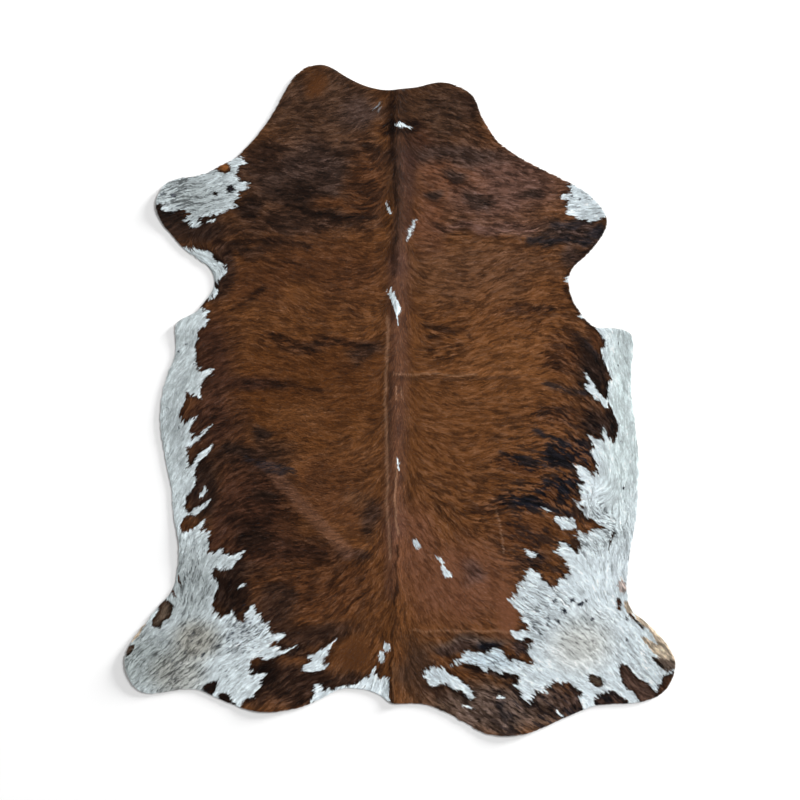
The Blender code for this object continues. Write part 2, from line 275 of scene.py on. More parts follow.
# Small white marks, mostly on the backbone and the loins.
FLECKS = {
    "flecks in the brown": [(-535, -618), (-520, -607), (-500, -602), (-512, -613), (-520, -616)],
    "streak on the left belly": [(-642, -280), (-634, -296), (-650, -318), (-664, -316), (-652, -300)],
    "tuft at the right elbow": [
        (590, 412), (558, 410), (540, 403), (552, 398), (540, 390), (556, 384), (590, 380),
    ],
    "tuft on the right flank": [(612, 288), (592, 283), (583, 273), (606, 268)],
    "drop on the right loin, upper": [(117, -513), (130, -522), (146, -535), (136, -537), (122, -526)],
    "drop on the right loin, lower": [
        (138, -536), (150, -556), (166, -568), (176, -584), (160, -584), (149, -586), (137, -562),
    ],
    "fleck on the right belly": [(405, -490), (430, -500), (449, -513), (430, -522), (412, -506)],
    "streak on the right belly": [(462, -349), (480, -356), (497, -366), (478, -366)],
    "round fleck": [(42, -458), (54, -460), (66, -478), (62, -490), (48, -484), (40, -470)],
    "fleck below the drops": [(128, -519), (140, -521), (139, -526), (129, -525)],
    "flecks on the right thigh": [(310, -981), (328, -974), (346, -981), (330, -987)],
    "lowest fleck": [(510, -1016), (524, -1026), (541, -1038), (528, -1042), (514, -1030)],
    "pale hem": [(198, -1000), (218, -1004), (240, -1012), (222, -1013), (204, -1007)],
    "neck crescent": [(-18, 908), (-4, 916), (6, 917), (16, 909), (34, 902), (30, 898), (12, 901), (-4, 904)],
    "strand, upper nape": [(-47, 664), (-36, 642), (-25, 610), (-33, 614), (-42, 636)],
    "strand, right of the nape": [(52, 600), (40, 560), (20, 517), (27, 556), (38, 584)],
    "feather": [
        (-50, 372), (-36, 350), (-31, 375), (-25, 356), (-16, 347), (-6, 327), (2, 307),
        (-3, 290), (-8, 276), (-4, 242), (-13, 270), (-20, 300), (-28, 326), (-40, 351),
    ],
    "small strands": [(-12, -188), (-6, -196), (-4, -214), (-2, -230), (-8, -222), (-10, -206)],
    "blob left of the tail": [(-50, -796), (-34, -806), (-32, -824), (-46, -828), (-55, -812)],
    "lower blob": [(-66, -824), (-54, -828), (-50, -846), (-56, -866), (-68, -858), (-70, -840)],
}

# What grows inside the white: the same brown, or tan and reddish hair near the leg ends.
# Columns: colour, outline.
SPOTS = {
    "edge spot of the left foreleg": (
        "bright chestnut", [(-606, 762), (-592, 782), (-566, 790), (-553, 777), (-556, 756), (-578, 744)]
    ),
    "eye of the left foreleg": (
        "blue black", [(-570, 705), (-553, 711), (-540, 700), (-543, 687), (-558, 681), (-567, 690)]
    ),
    "dot of the left foreleg": ("black brown", [(-615, 686), (-600, 687), (-598, 675), (-612, 673)]),
    "far dot": ("dark grey", [(-753, 681), (-739, 679), (-739, 669), (-751, 668)]),
    "left thigh, outer": (
        "black brown", [(-650, -943), (-628, -927), (-600, -922), (-603, -950), (-620, -974), (-645, -965)]
    ),
    "left thigh, inner": (
        "black brown",
        [(-598, -966), (-578, -963), (-558, -973), (-542, -1003), (-560, -1020), (-596, -990)],
    ),
    "left leg, upper edge": ("rust", [(-733, -565), (-726, -585), (-723, -612), (-732, -602)]),
    "left leg, second edge": ("rust", [(-752, -617), (-742, -622), (-736, -648), (-748, -640)]),
    "left leg, big": (
        "smoky umber",
        [
            (-767, -654), (-754, -661), (-746, -677), (-752, -708), (-761, -721), (-781, -731),
            (-790, -756), (-804, -748), (-821, -746), (-817, -723), (-798, -700), (-790, -675),
        ],
    ),
    "left leg, tan edge": ("tan", [(-838, -738), (-846, -752), (-868, -786), (-890, -800), (-870, -750)]),
    "left leg, lowest edge": ("smoky umber", [(-873, -804), (-880, -828), (-898, -845), (-915, -820)]),
    "right thigh, eye": (
        "smoky umber", [(612, -903), (633, -903), (665, -916), (671, -937), (648, -949), (619, -925)]
    ),
    "right thigh, band": (
        "mauve umber",
        [
            (729, -866), (750, -874), (767, -898), (788, -920), (817, -932), (835, -955),
            (852, -975), (840, -1010), (790, -996), (778, -979), (767, -962), (743, -948),
            (729, -927), (725, -905), (720, -877),
        ],
    ),
    "right leg, tan": (
        "tan",
        [
            (770, -700), (782, -729), (814, -751), (830, -770), (841, -790), (852, -806),
            (838, -800), (825, -794), (803, -777), (792, -777), (795, -786), (808, -800),
            (825, -819), (836, -836), (858, -850), (885, -858), (920, -863), (930, -800),
            (860, -720), (790, -680),
        ],
    ),
    "right leg, smoky": (
        "smoke", [(828, -846), (858, -850), (885, -857), (925, -862), (920, -884), (880, -896), (856, -880)]
    ),
    "right leg, black": ("black brown", [(826, -846), (850, -856), (872, -880), (858, -880), (838, -862)]),
    "right leg, brown edge": (
        "umber", [(869, -907), (890, -899), (930, -890), (900, -960), (845, -975), (847, -950), (858, -932)]
    ),
    "right belly, spot": ("rust", [(713, -652), (720, -646), (728, -666), (726, -693), (713, -690)]),
    "right belly, tan band": (
        "tan", [(736, -662), (746, -655), (758, -672), (766, -700), (758, -706), (745, -694)]
    ),
    "right belly, end of the band": ("rust", [(746, -696), (760, -700), (772, -716), (760, -720)]),
    "right belly, dashes": (
        "umber", [(768, -716), (786, -733), (801, -745), (796, -753), (778, -738), (765, -723)]
    ),
    "right belly, pinkish": (
        "pinkish", [(715, -610), (722, -594), (731, -584), (746, -608), (742, -633), (723, -629)]
    ),
    "lone streak": ("umber", [(699, -428), (708, -434), (700, -460), (689, -478), (692, -452)]),
    "spot in the loin's white": (
        "umber", [(404, -786), (425, -782), (435, -792), (428, -804), (410, -802)]
    ),
}

# Dark specks in the white: x, y, radius.
SPECKS = [
    (568, -660, 7), (590, -671, 8), (600, -668, 6), (613, -657, 5), (632, -720, 6), (745, -718, 5),
    (748, -786, 5), (539, -693, 8), (506, -660, 7), (461, -771, 5), (485, -740, 5),
    (520, -725, 5), (590, 664, 4), (563, 676, 3), (613, 664, 3), (721, 112, 3),
    (737, -287, 4), (731, -136, 2.5), (724, -77, 2.5), (721, 187, 2.5),
    (-707, 185, 4), (-732, 160, 3), (-767, -27, 3), (-730, -88, 3), (-510, -675, 4),
]

# The brown coat from the neck to the rump, later rows over earlier ones.
# Columns: x, y, reach in x, reach in y, colour of the ground, share of dark hair.
AREAS = {
    "left lobe of the neck": (-270, 980, 220, 140, "dim brown", 0.4),
    "orange patch": (-280, 1048, 40, 58, "ochre", -0.1),
    "left of the nape": (-120, 940, 90, 70, "mauve umber", 0.3),
    "left shoulder": (-300, 740, 260, 140, "mauve umber", 0.5),
    "dark of the left shoulder": (-330, 675, 140, 56, "dark umber", 0.58),
    "by the left foreleg": (-500, 632, 56, 40, "dark umber", 0.68),
    "left side of the nape": (-90, 800, 90, 44, "umber", 0.42),
    "outer left shoulder": (-440, 800, 70, 60, "umber", 0.55),
    "lighter by the nape": (-110, 700, 70, 150, "dark chestnut", 0.5),
    "light patch of the left shoulder": (-215, 648, 80, 22, "dark chestnut", 0.3),
    "streak under it": (-215, 606, 150, 18, "umber", 0.75),
    "left foreleg": (-690, 575, 150, 64, "dark umber", 0.4),
    "left armpit": (-330, 572, 240, 52, "umber", 0.58),
    "edge of the left foreleg": (-765, 628, 60, 38, "dark umber", 0.85),
    "under the left armpit": (-450, 500, 190, 26, "umber", 0.62),
    "upper back, left": (-260, 410, 260, 120, "dark chestnut", 0.22),
    "light of the left chest": (-330, 350, 80, 40, "chestnut", 0.1),
    "left side of the chest": (-490, 375, 90, 64, "dark chestnut", 0.15),
    "left elbow": (-600, 430, 46, 100, "umber", 0.5),
    "left back": (-300, 40, 340, 200, "amber", 0.17),
    "streaks by the spine": (-270, 196, 190, 26, "dark chestnut", 0.6),
    "blotch by the spine": (-110, 165, 54, 44, "umber", 0.45),
    "streaks of the left back": (-480, 68, 130, 28, "deep brown", 0.5),
    "left flank": (-610, 120, 90, 160, "deep brown", 0.28),
    "left flank, low": (-610, -60, 100, 120, "deep brown", 0.5),
    "black mark of the left flank": (-457, -110, 50, 26, "dark umber", 0.6),
    "left belly": (-490, -195, 150, 60, "umber", 0.5),
    "left belly, broad": (-490, -380, 150, 200, "deep brown", 0.5),
    "outer left belly": (-650, -290, 60, 130, "dark umber", 0.5),
    "left belly, low": (-475, -450, 66, 44, "dark umber", 0.66),
    "edge of the left belly": (-592, -430, 36, 60, "deep brown", 0.4),
    "dark hair of the left belly": (-540, -172, 56, 22, "dark umber", 0.62),
    "dark hair under the swell": (-150, -505, 60, 30, "umber", 0.5),
    "dark spot of the left belly": (-450, -312, 46, 24, "dark umber", 0.6),
    "under the left belly": (-500, -565, 90, 44, "dark umber", 0.58),
    "left loin": (-230, -310, 150, 120, "dark chestnut", 0.18),
    "light of the left back": (-330, -40, 110, 50, "chestnut", 0.12),
    "light by the spine": (-130, -110, 46, 40, "chestnut", 0.1),
    "light of the left loin": (-140, -310, 56, 36, "soft chestnut", 0.15),
    "grey by the spine": (-100, -385, 40, 60, "umber", 0.45),
    "low left loin": (-340, -500, 170, 56, "deep brown", 0.46),
    "left rump": (-280, -620, 220, 110, "dark chestnut", 0.42),
    "left rump, low": (-310, -765, 170, 34, "umber", 0.55),
    "dark hair of the left rump": (-400, -640, 60, 30, "umber", 0.6),
    "black by the white": (-565, -640, 66, 80, "dark umber", 0.82),
    "edge of the left thigh": (-360, -815, 50, 26, "dark umber", 0.75),
    "left rump, outer": (-420, -690, 80, 70, "umber", 0.5),
    "round patch": (-150, -850, 62, 60, "ochre", -0.3),
    "left thigh": (-350, -940, 190, 80, "umber", 0.68),
    "black of the left thigh": (-440, -905, 60, 36, "black brown", 0.7),
    "under the round patch": (-180, -925, 90, 30, "umber", 0.5),
    "right lobe of the neck": (140, 950, 140, 110, "dim brown", 0.35),
    "edge of the right lobe": (215, 960, 40, 50, "umber", 0.35),
    "right of the nape": (54, 820, 90, 70, "deep brown", 0.38),
    # Partly painted sheen: the mauve tones of the right shoulder and its blotches, down to the right armpit,
    # where the hair catches the light; this also makes the right shoulder lighter than the left one.
    "right shoulder": (320, 720, 270, 150, "mauve brown", 0.22),
    "top of the right shoulder": (190, 815, 170, 40, "mauve umber", 0.4),
    "russet of the shoulder": (170, 740, 90, 60, "russet", 0.3),
    "blotch of the shoulder": (190, 740, 40, 36, "mauve umber", 0.5),
    "right of the nape, low": (90, 580, 60, 130, "russet", 0.1),
    "second blotch": (96, 668, 26, 14, "mauve umber", 0.35),
    "third blotch": (252, 668, 48, 24, "mauve umber", 0.44),
    "fourth blotch": (437, 690, 40, 22, "mauve umber", 0.45),
    "right armpit": (300, 575, 190, 26, "mauve brown", 0.3),
    "edge of the right foreleg": (590, 552, 150, 42, "mauve umber", 0.55),
    "under the right foreleg": (575, 460, 40, 50, "mauve umber", 0.35),
    "upper back, right": (260, 420, 280, 120, "soft chestnut", 0.15),
    "right side of the chest": (500, 365, 90, 60, "chestnut", 0.2),
    "streak of the right chest": (400, 300, 120, 16, "dark chestnut", 0.6),
    "right back": (240, 30, 300, 290, "chestnut", 0.1),
    # Lighter hair; it reaches down over the shipping crease, where it also paints the crease's highlight.
    "light of the right back": (370, 125, 150, 110, "bright chestnut", 0.1),
    "blotch right of the spine": (130, 214, 54, 24, "chestnut", 0.45),
    "marks under it": (125, 165, 80, 26, "chestnut", 0.35),
    "outer right back": (535, 150, 84, 54, "dark chestnut", 0.5),
    "right flank": (640, 105, 64, 120, "dark umber", 0.7),
    "reddish edge of the right flank": (656, 206, 26, 40, "dark chestnut", 0.2),
    "streaks of the right flank": (505, -50, 80, 40, "dark chestnut", 0.58),
    "right flank, black": (645, -90, 70, 54, "dark umber", 0.62),
    "lobe of the right flank": (692, -70, 34, 60, "dark umber", 0.75),
    "right belly, black": (550, -165, 80, 46, "dark chestnut", 0.7),
    "streaks of the right belly": (400, -215, 100, 36, "dark chestnut", 0.5),
    "right belly": (530, -290, 90, 46, "dark chestnut", 0.68),
    "lower streaks": (400, -345, 150, 30, "dark chestnut", 0.62),
    "right belly, low": (410, -440, 110, 60, "dark chestnut", 0.25),
    "above the loin's white": (430, -530, 70, 40, "umber", 0.42),
    "right loin": (190, -600, 190, 150, "bright russet", -0.05),
    "right of the spine, low": (30, -470, 90, 130, "bright russet", 0.08),
    "smoky spot of the loin": (236, -565, 46, 40, "mauve brown", 0.15),
    "edge of the right loin": (345, -700, 46, 120, "bright russet", -0.3),
    "below the rump's fold": (230, -800, 120, 24, "grey brown", 0.3),
    "dark hair below the fold": (180, -815, 70, 18, "mauve umber", 0.4),
    "brown by the loin's white": (392, -820, 46, 28, "mauve umber", 0.35),
    "black below the fold": (283, -811, 38, 16, "blue black", 0.7),
    "right of the tail": (60, -880, 70, 100, "dim brown", 0.2),
    "right thigh": (330, -1010, 280, 90, "grey brown", 0.42),
    "right thigh, outer": (640, -980, 170, 60, "mauve umber", 0.5),
    "between the whites": (310, -880, 90, 26, "slate brown", 0.55),
}

# Streaks of hair that follow a line, and the painted highlights and painted shade along the creases and the
# backbone's groove. Columns: colour, half width, strength, points.
LINES = {
    "nape": ("dark umber", 44, 0.4, [(4, 1000), (6, 860), (4, 720)]),
    # Painted sheen: the mauve band down the backbone, where the hair's lie changes.
    "backbone, upper": ("dark mauve", 30, 0.7, [(22, 800), (16, 640), (0, 540), (-4, 440)]),
    # Painted shade in the backbone's groove, down the nape.
    "dark of the nape": ("dark umber", 15, 0.55, [(-12, 870), (-6, 740), (-6, 560), (-8, 430)]),
    # More of the backbone's painted sheen.
    "backbone, middle": ("mauve", 40, 0.65, [(-4, 460), (-8, 60), (-14, -200), (-18, -420)]),
    "backbone, lower": ("mauve", 20, 0.5, [(-30, -440), (-32, -640)]),
    # Painted shade in the backbone's groove and, lower down, in the fold along the backbone.
    "groove": ("black brown", 8, 0.65, [(-21, 1000), (-22, 860), (-14, 740), (-12, 650)]),
    "end of the groove": ("black brown", 9, 0.4, [(-12, 650), (-18, 540), (-20, 420)]),
    "lower groove": (
        "black brown", 5, 0.6, [(-11, -480), (-14, -620), (-21, -740), (-27, -810), (-32, -990)]
    ),
    # Painted highlights on the raised creases beside the backbone, and painted shade next to the left one.
    "left crease": (
        "pale line", 5, 0.68, [(-38, 280), (-45, 110), (-48, 0), (-42, -130), (-42, -330), (-33, -520)]
    ),
    "left crease's shade": ("dark umber", 6, 0.45, [(-32, 90), (-34, -20), (-34, -160)]),
    "right crease": ("pale line", 4, 0.75, [(-12, -190), (-11, -260), (-15, -330), (-8, -440)]),
    # A painted highlight on the fold above the tail.
    "tail line": ("pale line", 4, 0.3, [(-21, -860), (-22, -990)]),
    "top of the nape": ("black brown", 34, 0.5, [(-14, 1000), (-14, 930)]),
    "neck patch": ("black brown", 26, 0.9, [(-46, 898), (0, 902), (46, 912)]),
    "dark line of the neck": ("black brown", 5, 0.8, [(-36, 888), (0, 888), (52, 892)]),
    "first pale hair of the neck": ("grey", 2.2, 0.85, [(-82, 962), (-70, 974)]),
    "second pale hair of the neck": ("grey", 2.2, 0.85, [(-76, 968), (-62, 984)]),
    "third pale hair of the neck": ("grey", 2.2, 0.7, [(-68, 958), (-58, 970)]),
    "black mark left of the nape": ("black brown", 12, 0.6, [(-112, 838), (-76, 834)]),
    "streaks left of the nape": ("black brown", 10, 0.5, [(-210, 812), (-130, 806)]),
    # Painted highlight on the shipping crease's ridge, and painted shade below it.
    "shipping crease": ("pale line", 4, 0.55, [(-20, 86), (120, 84), (250, 82)]),
    "its shade": ("umber", 6, 0.5, [(-6, 72), (120, 71), (300, 71), (390, 74)]),
    # Painted highlight on the crease over the rump, and painted shade below it.
    "rump crease": ("pale line", 4, 0.5, [(40, -757), (250, -758), (364, -762)]),
    "rump crease's shade": ("umber", 8, 0.4, [(80, -771), (250, -772), (360, -772)]),
    "scar": ("pale line", 2.5, 0.8, [(314, -352), (324, -400), (333, -440), (337, -480), (341, -505)]),
    # Painted sheen along the crest of a swell in the hide.
    "swell's crest": ("sheen brown", 25, 0.66, [(-430, -225), (-370, -290), (-270, -400), (-170, -500)]),
    "black streak of the shoulder": (
        "black brown", 10, 0.95, [(-365, 642), (-290, 618), (-210, 604), (-118, 606)]
    ),
    "streak over it": ("black brown", 10, 0.65, [(-330, 690), (-240, 672)]),
    "streak of the armpit": ("black brown", 11, 0.7, [(-610, 520), (-450, 530), (-300, 506)]),
    "streak of the left chest": ("black brown", 10, 0.5, [(-560, 476), (-440, 462), (-330, 444)]),
    "edge of the right flank": ("black brown", 12, 0.7, [(548, 366), (590, 294), (620, 250)]),
    "blue hair inside that edge": ("blue black", 14, 0.55, [(584, 210), (620, 178), (642, 148)]),
    "black hair of the right foreleg": (
        "blue black", 20, 0.65, [(430, 528), (520, 530), (600, 526), (660, 560)]
    ),
    "black hair over it": ("blue black", 13, 0.55, [(500, 572), (570, 576), (668, 606)]),
    "edge under the right foreleg": ("black brown", 8, 0.8, [(640, 516), (600, 470), (562, 430), (542, 402)]),
    "dark hair of the right flank": ("black brown", 17, 0.55, [(545, 238), (592, 190), (628, 116)]),
    "blue hair of the right flank": ("blue black", 14, 0.6, [(480, 52), (550, 40), (606, 28)]),
    "rim of the tongue": ("black brown", 7, 0.85, [(214, -874), (256, -893), (302, -897), (350, -909)]),
    "end of the rim": ("black brown", 12, 0.85, [(346, -908), (378, -919), (372, -930)]),
    "rim of the island": ("black brown", 8, 0.7, [(112, -944), (152, -945), (196, -962), (222, -984)]),
    "first smudge of the right thigh": ("blue black", 18, 0.5, [(332, -1000), (350, -1036)]),
    "second smudge of the right thigh": ("black brown", 16, 0.5, [(420, -1006), (505, -1028)]),
    "third smudge of the right thigh": ("dark umber", 20, 0.6, [(95, -952), (150, -974)]),
    "first strand of the backbone": ("pale line", 2.5, 0.7, [(-16, 43), (-8, 2)]),
    "second strand of the backbone": ("pale line", 2.5, 0.6, [(0, 43), (12, 4)]),
    "streak of the left side": ("black brown", 11, 0.7, [(-560, 294), (-500, 326), (-440, 372)]),
    "first streak of the back": ("black brown", 11, 0.6, [(-425, 208), (-330, 190), (-264, 178)]),
    "second streak of the back": ("black brown", 11, 0.55, [(-264, 205), (-190, 192), (-80, 176)]),
    "third streak of the back": ("black brown", 10, 0.5, [(-412, 56), (-330, 46), (-254, 34)]),
    "blue streak of the belly": ("blue black", 13, 0.6, [(-505, -190), (-430, -220), (-353, -238)]),
    "streaks of the left belly": ("black brown", 15, 0.6, [(-490, -318), (-410, -326), (-400, -330)]),
    "black of the left belly": ("black brown", 26, 0.62, [(-545, -400), (-480, -412), (-430, -404)]),
    "black under it": ("black brown", 18, 0.6, [(-520, -462), (-430, -452)]),
    "streak of the right chest": ("black brown", 10, 0.55, [(380, 314), (440, 306), (500, 296)]),
    "streak of the upper back": ("black brown", 10, 0.5, [(82, 256), (150, 236), (231, 208)]),
    "first streak of the right belly": ("blue black", 10, 0.75, [(440, -108), (500, -118), (560, -150)]),
    "second streak of the right belly": ("blue black", 9, 0.75, [(330, -168), (400, -192), (478, -214)]),
    "third streak of the right belly": ("blue black", 12, 0.8, [(380, -330), (460, -345), (560, -372)]),
    "fourth streak of the right belly": ("blue black", 9, 0.7, [(470, -262), (540, -290), (590, -300)]),
    "tuft by the tail": ("black brown", 12, 0.6, [(-60, -870), (-80, -920)]),
}

# Tints of the white, and the grey hair in it.
# Columns: x, y, reach in x, reach in y, tint, its strength, share of grey streaks, of dark dashes.
TINTS = {
    # Partly painted shade: the whites of the left side, away from the lamps, are greyer and darker, as well
    # as greyer in their own colour.
    "all of the left": (-800, 0, 400, 1500, "left grey", 0.36, 0.12, 0.0),
    "left foreleg": (-670, 680, 170, 110, "left grey", 0.06, 0.3, 0.02),
    "middle of the left foreleg": (-670, 670, 70, 50, "left grey", 0.26, 0.34, 0.02),
    "end of the left foreleg": (-740, 680, 60, 60, "left grey", 0.1, 0.6, 0.05),
    "left flank": (-730, 100, 80, 220, "left grey", 0.12, 0.04, 0.0),
    "left hind, upper": (-690, -600, 90, 130, "left grey", 0.28, 0.3, 0.0),
    "left hind, end": (-850, -860, 110, 100, "left grey", 0.6, 0.3, 0.0),
    "left thigh": (-560, -850, 100, 110, "white", 0.15, 0.2, 0.03),
    "left hind, speckled": (-510, -765, 100, 60, "white", 0.35, 0.36, 0.16),
    "left hind, beige": (-670, -790, 80, 66, "beige grey", 0.66, 0.46, 0.07),
    "left hind, low beige": (-730, -900, 90, 80, "beige grey", 0.45, 0.5, 0.06),
    "right foreleg": (620, 640, 90, 70, "white", 0.3, 0.2, 0.0),
    "right flank": (740, -40, 90, 380, "pale teal", 1.0, 0.0, 0.0),
    "right belly": (640, -420, 100, 90, "pale teal", 0.3, 0.5, 0.03),
    "right loin": (460, -690, 110, 100, "white", 0.15, 0.35, 0.06),
    "right hind, cream": (590, -820, 110, 80, "cream", 0.4, 0.15, 0.0),
    "right hind, centre": (612, -770, 100, 90, "beige grey", 0.2, 0.32, 0.02),
    "right hind": (740, -850, 100, 90, "white", 0.2, 0.15, 0.0),
    "right tongue": (280, -850, 130, 40, "bluish", 0.5, 0.4, 0.05),
    "right of the tail": (115, -905, 40, 26, "grey", 0.3, 0.2, 0.0),
}

# Where the hair is shorter or longer. Columns: x, y, reach in x, reach in y, share of LONG_HAIR.
LENGTHS = {
    "right flank": (740, -60, 70, 330, 0.72),
    "left flank": (-745, 60, 60, 240, 0.75),
    "left foreleg": (-740, 660, 110, 90, 0.7),
    "right foreleg": (660, 590, 90, 80, 0.7),
    "left hind leg": (-840, -840, 130, 130, 0.7),
    "right hind leg": (850, -870, 120, 130, 0.7),
    "round patch": (-150, -850, 84, 80, 0.55),
    "right loin": (210, -600, 170, 150, 0.7),
    "backbone": (-8, 0, 44, 1100, 0.75),
    "right thigh": (640, -420, 120, 120, 1.15),
}


def sheet_points(points):
    return np.asarray(points, float) * MM


def smooth(share):
    share = np.clip(share, 0.0, 1.0)
    return share * share * (3.0 - 2.0 * share)


def blend(first, second, share):
    return first * (1.0 - share) + second * share


def mix(first, second, share):
    """Colours blended point by point."""
    return blend(first, second, np.asarray(share, float).reshape(-1, 1))


def between(grid, cell, after, share):
    """Values read between four points of a grid, at a share of the way to the points after."""
    (i, j), (far_i, far_j), (u, v) = cell, after, share
    near = blend(grid[i, j], grid[i, far_j], v)
    far = blend(grid[far_i, j], grid[far_i, far_j], v)
    return blend(near, far, u)


class Field:
    """Values on an even grid over the hide, read between the grid's points."""

    def __init__(self, step, values):
        low, high = (np.array(corner[:2]) for corner in CAD_BOX)
        self.step = step
        self.low = low - FIELD_MARGIN
        self.shape = tuple(np.ceil((high - low + 2 * FIELD_MARGIN) / step).astype(int) + 1)
        points = self.low + np.indices(self.shape).reshape(2, -1).T * step
        self.values = np.asarray(values(points), float).reshape(*self.shape, -1)

    def blurred(self, passes):
        for _ in range(passes):
            for axis in (0, 1):
                sides = [(0, 0)] * 3
                sides[axis] = (1, 1)
                padded = np.pad(self.values, sides, "edge")
                before, after = np.delete(padded, [-1, -2], axis), np.delete(padded, [0, 1], axis)
                self.values = self.values / 2 + (before + after) / 4
        return self

    def at(self, points):
        place = (points - self.low) / self.step
        cell = np.clip(np.floor(place).astype(int), 0, np.array(self.shape) - 2)
        share = np.clip(place - cell, 0.0, 1.0).T[:, :, None]
        read = between(self.values, cell.T, cell.T + 1, share)
        return read[:, 0] if read.shape[1] == 1 else read


def colour(name):
    return np.array(COLOURS[name], float)


def plain(name, points):
    """One colour for all of the points."""
    return np.tile(colour(name), (len(points), 1))


def inside(points, polygon):
    """Which points lie within a closed outline."""
    within = np.zeros(len(points), bool)
    near = ((points >= polygon.min(axis=0)) & (points <= polygon.max(axis=0))).all(axis=1)
    x, y = points[near].T
    odd = np.zeros(len(x), bool)
    for (x0, y0), (x1, y1) in zip(polygon, np.roll(polygon, -1, axis=0)):
        if y0 != y1:
            crosses = (y0 > y) != (y1 > y)
            odd ^= crosses & (x < x0 + (y - y0) * (x1 - x0) / (y1 - y0))
    within[near] = odd
    return within


def distance_to_line(points, line):
    nearest = np.full(len(points), np.inf)
    for start, end in zip(line[:-1], line[1:]):
        along = end - start
        share = np.clip((points - start) @ along / (along @ along), 0.0, 1.0)
        away = np.linalg.norm(points - start - share[:, None] * along, axis=1)
        nearest = np.minimum(nearest, away)
    return nearest


def turned(along, angle):
    """The directions turned to the left by an angle."""
    cos, sin = np.cos(angle)[:, None], np.sin(angle)[:, None]
    return along * cos + np.column_stack([-along[:, 1], along[:, 0]]) * sin


def unit(vectors):
    return vectors / np.linalg.norm(vectors, axis=1)[:, None]


def noise(points, cell, seed):
    """Random values from 0 to 1 that change smoothly over about one cell. Each use has its own seed."""
    values = np.random.default_rng(SEED * 1000 + seed).random((NOISE_TABLE, NOISE_TABLE))
    place = points / cell + NOISE_START
    whole = np.floor(place).astype(int)
    start = whole.T % NOISE_TABLE
    return between(values, start, (start + 1) % NOISE_TABLE, smooth(place - whole).T)


def ranked(values):
    """The same values spread evenly from 0 to 1."""
    order = np.empty(len(values))
    order[np.argsort(values)] = np.arange(len(values))
    return order / len(values)


# ---------------------------------------------------------------- the solid that the looks are built on


def underside():
    """The solid's lower side: its welded points and its faces that look down."""
    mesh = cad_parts["hide"].data
    places = np.array([vertex.co for vertex in mesh.vertices])
    kept, index = np.unique(np.round(places, 6), axis=0, return_inverse=True)
    index = index.ravel()
    faces = [
        [int(index[vertex]) for vertex in face.vertices]
        for face in mesh.polygons
        if face.normal.z < -0.5
    ]
    return kept, faces


def outline(points, faces):
    """The outline as a smooth closed line, through the edges that only one lower face has."""
    sides = {(start, end) for face in faces for start, end in zip(face, face[1:] + face[:1])}
    rim = {start: end for start, end in sides if (end, start) not in sides}
    loop = [min(rim)]
    while rim[loop[-1]] != loop[0]:
        loop.append(rim[loop[-1]])
    corners = points[loop][:, :2]
    before, after, beyond = (np.roll(corners, shift, axis=0) for shift in (1, -1, -2))
    tangent, tangent_after = (after - before) / 2, (beyond - corners) / 2
    rows = []
    for share in np.arange(EDGE_STEPS) / EDGE_STEPS:
        cube, square = share**3, share**2
        rows.append(
            corners * (2 * cube - 3 * square + 1)
            + tangent * (cube - 2 * square + share)
            + after * (3 * square - 2 * cube)
            + tangent_after * (cube - square)
        )
    return np.stack(rows, axis=1).reshape(-1, 2)


POINTS, FACES = underside()
EDGE = outline(POINTS, FACES)


def heights(points):
    """The height of the solid's lower side, and of the skin's edge, which curls up from it."""
    tree = BVHTree.FromPolygons(POINTS.tolist(), FACES)
    low = np.array([tree.find_nearest((x, y, 0.0))[0].z for x, y in points])
    return low + EDGE_CURL * smooth(1.0 - FROM_EDGE.at(points) / CURL_REACH)


def edge_distance(points):
    """The distance to the cut edge: positive on the hide and negative off it."""
    tree = kdtree.KDTree(len(EDGE))
    for index, (x, y) in enumerate(EDGE):
        tree.insert((x, y, 0.0), index)
    tree.balance()
    away = np.array([tree.find((x, y, 0.0))[2] for x, y in points])
    return np.where(inside(points, EDGE), away, -away)


FROM_EDGE = Field(6 * MM, edge_distance)
UNDERSIDE = Field(8 * MM, heights).blurred(2)


def skin_depth(points):
    return SKIN_RIM + (SKIN - SKIN_RIM) * smooth(FROM_EDGE.at(points) / RIM_WIDTH)


def skin_top(points):
    return UNDERSIDE.at(points) + skin_depth(points)


# ---------------------------------------------------------------- how the hair lies


def directions(points):
    """Unit vectors along the hair, each a mean of the table's rows by nearness."""
    total = np.zeros((len(points), 2))
    for x, y, degrees in LIE_OF_THE_HAIR:
        angle = math.radians(degrees)
        away_squared = ((points - sheet_points((x, y))) ** 2).sum(axis=1)
        weight = 1.0 / (away_squared + LIE_BLUR**2) ** LIE_FALL
        total += weight[:, None] * (math.cos(angle), math.sin(angle))
    swirl = noise(points, 75 * MM, 1) + noise(points, 30 * MM, 2) - 1.0
    return turned(unit(total), math.radians(SWIRL) * swirl)


LIE = Field(9 * MM, directions).blurred(1)


def lie(points):
    return unit(LIE.at(points))


def streaks(points, cell, reach, seed):
    """Noise drawn out along the hair: streaks about one cell wide and twice the reach long."""
    total = noise(points, cell, seed)
    for sign in (-1.0, 1.0):
        place = points.copy()
        for _ in range(STREAK_STEPS):
            place = place + lie(place) * (sign * reach / STREAK_STEPS)
            total += noise(place, cell, seed)
    return ranked(total)


# ---------------------------------------------------------------- the coat's colours

# The weights in this section were set by comparing renders with the photo.


def area_share(points, x, y, reach_x, reach_y):
    """1 in the middle of an area and 0 past its soft edge."""
    away = np.hypot((points[:, 0] / MM - x) / reach_x, (points[:, 1] / MM - y) / reach_y)
    return smooth(SOFT_EDGE - away)


def wandering(points, size, cell, seed):
    """The points moved about at random, so that what is read there has uneven edges."""
    moved = np.stack([noise(points, cell, seed), noise(points, cell, seed + 1)], axis=1)
    return points + (moved - 0.5) * 2.0 * size


def white_parts(points):
    white = np.zeros(len(points), bool)
    for polygon in WHITES.values():
        white |= inside(points, sheet_points(polygon))
    return white


